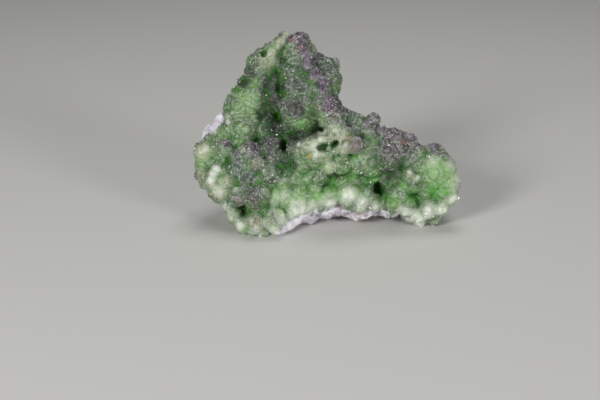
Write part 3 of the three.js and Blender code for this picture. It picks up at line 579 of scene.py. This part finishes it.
# These go from 0 to 1: facing out, facing up, and how deep in a crevice, a valley or a seam.
facing = np.clip(normals[:, 2] * 2 + 0.6, 0, 1)
upward = np.clip(normals[:, 1], 0, 1)
in_crevice = np.clip(crevice / CREVICE_DEPTH, 0, 1)
in_valley = np.clip(valley / VALLEY_DEPTH, 0, 1)
in_seam = np.clip(1 - seam / SEAM_WIDTH, 0, 1)
on_crest = upward * (painted[:, 1] > CREST_LEVEL)
tones = rng.uniform(0, 1, len(balls))
looks = {
    "tone": evened(tones[own][:, None], 2)[:, 0],
    # Painted shade: a deep green that darkens the crevices, the valleys and the seams between the lobes.
    "hollow": in_crevice * 0.5 + in_valley * 0.45 + in_seam * 0.32,
    # The pale rim: partly the lobes' pale outer skin, partly a painted sheen at their edges.
    "rim": np.clip(1 - np.abs(seam - SHEEN_RIM_OFF_SEAM) / SHEEN_RIM_BREADTH, 0, 1) * on_lobe,
    "druse": facing * dabbed(painted, PURPLE_DRUSE) + 0.45 * on_crest,
    "frost": facing * dabbed(painted, GREY_FROST) + (1 - facing) * 0.6,
    "worn": facing * dabbed(painted, PALE_WORN),
    "white": facing * dabbed(finely_painted, WHITE_LOBE, 0.7),
    # Pale thin lips, whitened further by a painted glow of light through them.
    "lip_glow": dabbed(painted, WHITE_LIP_GLOW, 0.9),
    "rocky": dabbed(painted, ROCK_EDGE, 0.3),
    # Brighter yellow-green: partly the crust's own green, partly a painted glow of light through it.
    "lively_glow": facing * dabbed(painted, LIVELY_GREEN_GLOW, 0.9),
    "shade": facing * dabbed(painted, DEEP_SHADE, 0.9),
    # Clear deep green in the crevices: partly the thick crust's own colour, partly painted shade.
    "vivid_shade": facing * dabbed(painted, VIVID_GREEN_SHADE, 0.9),
    "violet": facing * dabbed(finely_painted, VIOLET),
    "iron": facing * dabbed(painted, IRON_SPECKS),
    "rusty": facing * dabbed(finely_painted, RUSTY),
    "yellow": facing * dabbed(places, YELLOW_FLECK),
    "pitted": pitted,
}
for name, values in looks.items():
    keep(crust, name, values)


def linear(hex_colour):
    """An sRGB colour such as 7fa066 as the linear values that a shader takes."""
    channels = [int(hex_colour[i : i + 2], 16) / 255 for i in (0, 2, 4)]
    return (*[c / 12.92 if c <= 0.04045 else ((c + 0.055) / 1.055) ** 2.4 for c in channels], 1.0)


def add_node(tree, kind, sockets=(), **settings):
    """Adds a node with its settings, and gives its sockets a value or a link."""
    added = tree.nodes.new(kind)
    for name, value in settings.items():
        setattr(added, name, value)
    for key, value in dict(sockets).items():
        if isinstance(value, bpy.types.NodeSocket):
            tree.links.new(value, added.inputs[key])
        else:
            added.inputs[key].default_value = value
    return added


def new_finish(name):
    """A new material, its tree and shader, and the place of each point in metres."""
    material = bpy.data.materials.new(name)
    material.use_nodes = True
    tree = material.node_tree
    tree.nodes.clear()
    shader = add_node(tree, "ShaderNodeBsdfPrincipled")
    add_node(tree, "ShaderNodeOutputMaterial", {"Surface": shader.outputs[0]})
    return material, tree, shader, add_node(tree, "ShaderNodeTexCoord").outputs["Object"]


def blended(tree, share, under, over, way="MIX"):
    """One colour over another, by a share from 0 to 1."""
    sockets = {0: share, 6: under, 7: over}
    return add_node(tree, "ShaderNodeMix", sockets, data_type="RGBA", blend_type=way).outputs[2]


def product(tree, first, second):
    """The product of two numbers, held between 0 and 1."""
    sockets = {0: first, 1: second}
    return add_node(tree, "ShaderNodeMath", sockets, operation="MULTIPLY", use_clamp=True).outputs[0]


def stepped(tree, value, low, high):
    """A value stretched so that low becomes 0 and high becomes 1."""
    return add_node(tree, "ShaderNodeMapRange", {0: value, 1: low, 2: high}).outputs[0]


def kept_number(tree, name):
    """The number that a piece keeps under a name, as a material reads it."""
    return add_node(tree, "ShaderNodeAttribute", attribute_name=name).outputs["Fac"]


def coated(tree, colour, mark, hex_colour, breakup=1.0, way="MIX"):
    """A colour laid over another where a mark says so, broken up or thinned by a second share."""
    return blended(tree, product(tree, mark, breakup), colour, linear(hex_colour), way)


def noisy(tree, place, scale, detail):
    """Cloudy noise from 0 to 1, with its scale in clouds a millimetre."""
    sockets = {"Vector": place, "Scale": scale / MM, "Detail": detail}
    return add_node(tree, "ShaderNodeTexNoise", sockets).outputs[0]


def crust_colour(tree, place, sparkle):
    """The crust's green, frost, wear and stains, with painted glints of white faces, glow, sheen and shade.
    """
    kept = {name: kept_number(tree, name) for name in looks}
    cloud = noisy(tree, place, 0.16, 3.0)
    mottle = noisy(tree, place, 0.7, 4.0)
    broken = stepped(tree, mottle, 0.1, 0.6)
    colour = blended(tree, stepped(tree, cloud, 0.35, 0.65), linear("5f824a"), linear("7aa060"))
    # Brighter yellow-green: partly the crust's own green, partly a painted glow of light through it.
    colour = coated(tree, colour, kept["lively_glow"], "8ec466")
    colour = coated(tree, colour, kept["frost"], "5f6962", broken)
    colour = coated(tree, colour, kept["druse"], "665262", stepped(tree, mottle, 0.0, 0.45))
    colour = coated(tree, colour, kept["tone"], "8e948e", 0.6, way="MULTIPLY")
    colour = coated(tree, colour, kept["worn"], "bcbea2", broken)
    # The thin lips: pale edges, whitened by a painted glow of light through them.
    colour = coated(tree, colour, kept["lip_glow"], "f8fdee", stepped(tree, mottle, 0.05, 0.5))
    # A pale rim round each lobe: partly its pale skin, partly a painted sheen.
    rim_sheen_colour = blended(tree, kept["druse"], linear("b8beb4"), linear("aea6ae"))
    colour = blended(tree, product(tree, kept["rim"], 0.5), colour, rim_sheen_colour)
    # Painted glints: a share of the faces turns white or lilac, as crystal faces catching the light.
    milky_glint_white = blended(tree, kept["druse"], linear("f0f2ee"), linear("e8e0ee"))
    milky_glint_share = product(tree, sparkle, stepped(tree, kept["lively_glow"], 2.0, 0.0))
    colour = blended(tree, milky_glint_share, colour, milky_glint_white)
    colour = coated(tree, colour, kept["shade"], "66746a", way="MULTIPLY")
    # Clear deep green in the crevices: partly the thick crust's own colour, partly painted shade.
    colour = coated(tree, colour, kept["vivid_shade"], "5aac3a", 0.8)
    # Painted shade: deep green laid into the crevices, the valleys and the seams between the lobes.
    colour = coated(tree, colour, kept["hollow"], "307418")
    colour = coated(tree, colour, kept["white"], "e4eadd", 0.85)
    colour = coated(tree, colour, kept["rocky"], "faf4ff", stepped(tree, mottle, 0.2, 0.35))
    colour = coated(tree, colour, kept["violet"], "4a325c", stepped(tree, mottle, 0.25, 0.75))
    grains = add_node(tree, "ShaderNodeTexVoronoi", {"Vector": place, "Scale": 1.5 / MM}).outputs["Distance"]
    specks = product(tree, stepped(tree, grains, 0.5, 0.3), kept["iron"])
    colour = coated(tree, colour, specks, "6e4a40", 0.7)
    colour = coated(tree, colour, kept["rusty"], "b47868", stepped(tree, mottle, 0.25, 0.5))
    colour = coated(tree, colour, kept["yellow"], "d8b060")
    # Painted shade: the inside of each pit is darkened to an olive green.
    return coated(tree, colour, kept["pitted"], "3a6c24", 0.75)


# Waxy botryoidal smithsonite: fine sugary crystal, where each crystal face has a gloss of its own. It loses
# its gloss and sheen in the shaded valleys.
SMITHSONITE_IOR = 1.62
FACETS_A_MM = 2.6
crust_finish, tree, shader, place = new_finish("botryoidal_smithsonite")
facets = add_node(tree, "ShaderNodeTexVoronoi", {"Vector": place, "Scale": FACETS_A_MM / MM})
chance = add_node(tree, "ShaderNodeSeparateColor", {0: facets.outputs["Color"]}).outputs
# Painted glints: a share of the crystal faces is painted white.
sparkle = product(tree, stepped(tree, chance[0], 0.80, 0.86), 0.30)
tree.links.new(crust_colour(tree, place, sparkle), shader.inputs["Base Color"])
tree.links.new(stepped(tree, chance[1], 1.1, -0.3), shader.inputs["Roughness"])
shader.inputs["IOR"].default_value = SMITHSONITE_IOR
shader.inputs["Subsurface Weight"].default_value = 0.25
shader.inputs["Subsurface Radius"].default_value = (0.9, 2.0, 0.7)
shader.inputs["Subsurface Scale"].default_value = 0.8 * MM
kept_shade = kept_number(tree, "shade")
mirroring = product(tree, stepped(tree, kept_shade, 1.2, 0), 0.5)
tree.links.new(mirroring, shader.inputs["Specular IOR Level"])
tree.links.new(product(tree, stepped(tree, kept_shade, 1.1, 0), 0.3), shader.inputs["Sheen Weight"])
shader.inputs["Sheen Roughness"].default_value = 0.3
shader.inputs["Sheen Tint"].default_value = linear("e6e2f0")
bump = add_node(tree, "ShaderNodeBump", {
    "Strength": 0.45, "Distance": 0.25 * MM, "Height": facets.outputs["Distance"],
})
tree.links.new(bump.outputs[0], shader.inputs["Normal"])


def dressed(piece, material):
    """Gives a piece its one material, and lets it ride with the specimen."""
    piece.data.materials.clear()
    piece.data.materials.append(material)
    piece.data.polygons.foreach_set("material_index", np.zeros(len(piece.data.polygons), np.int32))
    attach(piece, "root")


dressed(crust, crust_finish)
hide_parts("smithsonite_crust")

# The druse.
# A frost of tiny rhombs of the same mineral, lilac to colourless, that grew last. Only the corner of each
# rhomb stands out of the skin, as a three-sided tip, and its flat faces are what glitters.
TIP_SIZES = (0.16, 0.50)
TIP_HEIGHT = 0.7
TIP_RISE = 0.12
TIP_TILT = 0.3
TIP_SPREAD = 0.15
MOST_TIPS = 48000
TIP_SMALLNESS = 3
# From the first glint value on, a tip is painted white as a glint, and fully white at the second.
MILKY_GLINT_FROM = 0.76
MILKY_GLINT_FULL = 0.93

only()
bpy.ops.mesh.primitive_cone_add(vertices=3, radius1=1, radius2=0, depth=TIP_HEIGHT)
tip = bpy.context.object

# Tips are thick where the druse and the frost are, thin on worn and broken stone, and fewer at the back.
# Most are near the smallest size, and the power TIP_SMALLNESS says how strongly.
shown = 0.25 + 0.75 * np.clip(normals[:, 2] * 3 + 1.2, 0, 1)
likely = 0.35 + 0.5 * looks["druse"] + 0.35 * looks["frost"] - 0.15 * looks["worn"] - 0.25 * looks["rocky"]
likely *= shown * (1 - 0.8 * pitted)
chosen = np.flatnonzero(rng.random(len(places)) < likely)
chosen = rng.permutation(chosen)[:MOST_TIPS]
tip_sizes = TIP_SIZES[0] + (TIP_SIZES[1] - TIP_SIZES[0]) * rng.random(len(chosen)) ** TIP_SMALLNESS
tip_places = places[chosen] + rng.normal(0, TIP_SPREAD, (len(chosen), 3))
tip_places += normals[chosen] * (TIP_RISE * tip_sizes)[:, None]
druse = strewn("druse", tip, tip_places, turned(normals[chosen], TIP_TILT), tip_sizes)
bpy.data.objects.remove(tip)
corners = len(druse.data.vertices) // len(chosen)
for name, values in looks.items():
    keep(druse, name, np.repeat(values[chosen], corners))
keep(druse, "glint", np.repeat(rng.random(len(chosen)), corners))
inside_box(druse)

# Glassy smithsonite tips: most are so clear that the green shows through, and some are milky or lilac,
# painted whiter as glints.
druse_finish, tree, shader, place = new_finish("glassy_druse")
glint = kept_number(tree, "glint")
# A share of the tips is painted white or lilac as glints.
milky_glint_tips = stepped(tree, glint, MILKY_GLINT_FROM, MILKY_GLINT_FULL)
tree.links.new(crust_colour(tree, place, milky_glint_tips), shader.inputs["Base Color"])
shader.inputs["Roughness"].default_value = 0.12
shader.inputs["IOR"].default_value = SMITHSONITE_IOR
dressed(druse, druse_finish)

# The matrix rock.
# Pale altered rock that the crust grew on, broken off the wall of its vein. It is rough and matt, white to
# lilac grey, in thin uneven layers, and it was broken, not cut.
ROCK_GRAIN = 0.42 * MM
rock = from_solid("matrix_rock", "rock")
worked(rock, "REMESH", mode="VOXEL", voxel_size=ROCK_GRAIN)
broken = relief("broken", "VORONOI", 5.0 * MM)
crags = relief("crags", "MUSGRAVE", 2.6 * MM, musgrave_type="RIDGED_MULTIFRACTAL")
chips = relief("chips", "STUCCI", 1.2 * MM, turbulence=4)
worked(rock, "DISPLACE", texture=broken, strength=1.2 * MM, mid_level=0.7)
worked(rock, "DISPLACE", texture=crags, strength=0.6 * MM, mid_level=0.3)
worked(rock, "DISPLACE", texture=chips, strength=0.8 * MM, mid_level=0.5)
inside_box(rock)
only(rock)
bpy.ops.object.shade_smooth()

# Altered limestone: chalky and matt, white to lilac, with brown-grey clay in its seams and a little rust.
rock_finish, tree, shader, place = new_finish("altered_limestone")
LAYER_TILT = (0.3, 0.2, 0.0)
LAYER_SQUASH = (1.0, 1.0, 3.0)
laid = add_node(tree, "ShaderNodeMapping", {"Vector": place, "Rotation": LAYER_TILT, "Scale": LAYER_SQUASH})
layers = add_node(tree, "ShaderNodeTexNoise", {
    "Vector": laid.outputs[0], "Scale": 0.22 / MM, "Detail": 8.0, "Roughness": 0.65,
}).outputs[0]
patches = noisy(tree, place, 0.12, 4.0)
grain = noisy(tree, place, 0.9, 5.0)
colour = blended(tree, stepped(tree, layers, 0.38, 0.62), linear("cec8d4"), linear("faf6fd"))
clay = product(tree, stepped(tree, patches, 0.42, 0.60), stepped(tree, grain, 0.60, 0.40))
colour = coated(tree, colour, clay, "7a6a68", 0.35)
colour = coated(tree, colour, stepped(tree, layers, 0.44, 0.36), "5e5052", 0.35)
colour = coated(tree, colour, stepped(tree, patches, 0.62, 0.74), "a5805c", 0.6)
tree.links.new(colour, shader.inputs["Base Color"])
shader.inputs["Roughness"].default_value = 0.85
bump = add_node(tree, "ShaderNodeBump", {"Strength": 0.8, "Distance": 0.4 * MM, "Height": layers})
bump = add_node(tree, "ShaderNodeBump", {
    "Strength": 0.6, "Distance": 0.25 * MM, "Height": grain, "Normal": bump.outputs[0],
})
tree.links.new(bump.outputs[0], shader.inputs["Normal"])
dressed(rock, rock_finish)
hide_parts("matrix_rock")

# The studio.
# A plain pale floor, and soft boxes at the left, at the right and above, as for any small specimen.
only()
bpy.ops.mesh.primitive_plane_add(size=12)
floor = bpy.context.object
floor.name = "floor"
floor_finish, tree, shader, place = new_finish("pale_card")
shader.inputs["Base Color"].default_value = linear("d9d8d4")
shader.inputs["Roughness"].default_value = 0.8
floor.data.materials.append(floor_finish)

world = bpy.data.worlds.new("studio")
bpy.context.scene.world = world
world.use_nodes = True
world.node_tree.nodes["Background"].inputs["Color"].default_value = linear("dcdcdc")
world.node_tree.nodes["Background"].inputs["Strength"].default_value = 0.15

SPECIMEN_MIDDLE = Vector((0, 0, 0.03))


def soft_box(name, place, size, power):
    """A square light that looks at the middle of the specimen."""
    light = bpy.data.objects.new(name, bpy.data.lights.new(name, "AREA"))
    light.data.shape = "SQUARE"
    light.data.size = size
    light.data.energy = power
    light.location = place
    light.rotation_euler = (SPECIMEN_MIDDLE - Vector(place)).to_track_quat("-Z", "Y").to_euler()
    bpy.context.collection.objects.link(light)


soft_box("left_box", (-0.42, -0.60, 0.34), 0.20, 3.5)
soft_box("right_box", (0.50, -0.55, 0.22), 0.20, 2.0)
soft_box("top_box", (0.05, 0.15, 0.60), 0.30, 1.0)
bpy.context.scene.view_settings.view_transform = "Standard"
